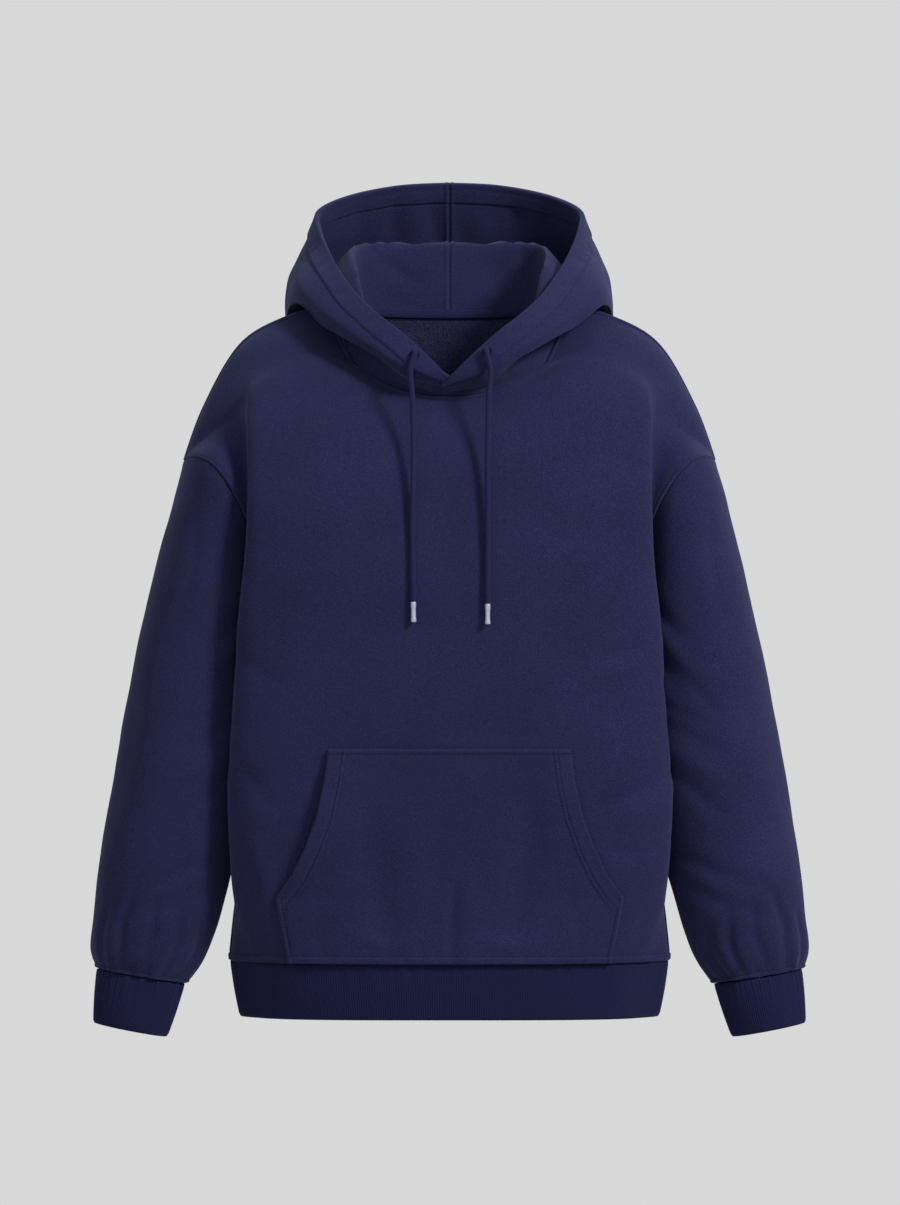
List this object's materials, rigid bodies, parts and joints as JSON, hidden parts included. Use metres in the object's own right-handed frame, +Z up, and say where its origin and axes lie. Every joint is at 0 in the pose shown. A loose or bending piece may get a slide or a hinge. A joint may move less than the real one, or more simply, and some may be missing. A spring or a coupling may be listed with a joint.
{
  "type": "pullover hoodie",
  "caption": "Long-sleeved pullover hoodie, filled out, with a lowered hood, drawcord ends, a kangaroo pocket and ribbed hem and cuffs.",
  "frame": {"origin": "middle of the base of the neck, level with the tops of the shoulders, where a wearer or a general figure holds the garment up", "axes": "+Z up towards the hood, -Y to the front, +X to the wearer's left"},
  "size_m": [0.717, 0.3081, 0.8626],
  "materials": {
    "body_cloth": "matt brushed-back fleece",
    "rib_cloth": "matt one by one rib knit",
    "tape_cloth": "matt twill tape",
    "cord_cloth": "braided cord and stitched eyelets",
    "cord_tip": "satin crimped tip"
  },
  "bodies": {
    "root": {"front_panel": "body_cloth", "back_panel": "body_cloth", "sleeve_left": "body_cloth", "sleeve_right": "body_cloth", "hood_left": "body_cloth", "hood_right": "body_cloth", "pocket": "body_cloth", "hem_band": "rib_cloth", "cuff_left": "rib_cloth", "cuff_right": "rib_cloth", "neck_tape": "tape_cloth", "eyelet_left": "cord_cloth", "eyelet_right": "cord_cloth", "drawcord_left": "cord_cloth", "drawcord_right": "cord_cloth", "aglet_left": "cord_tip", "aglet_right": "cord_tip"}
  },
  "joints": []
}
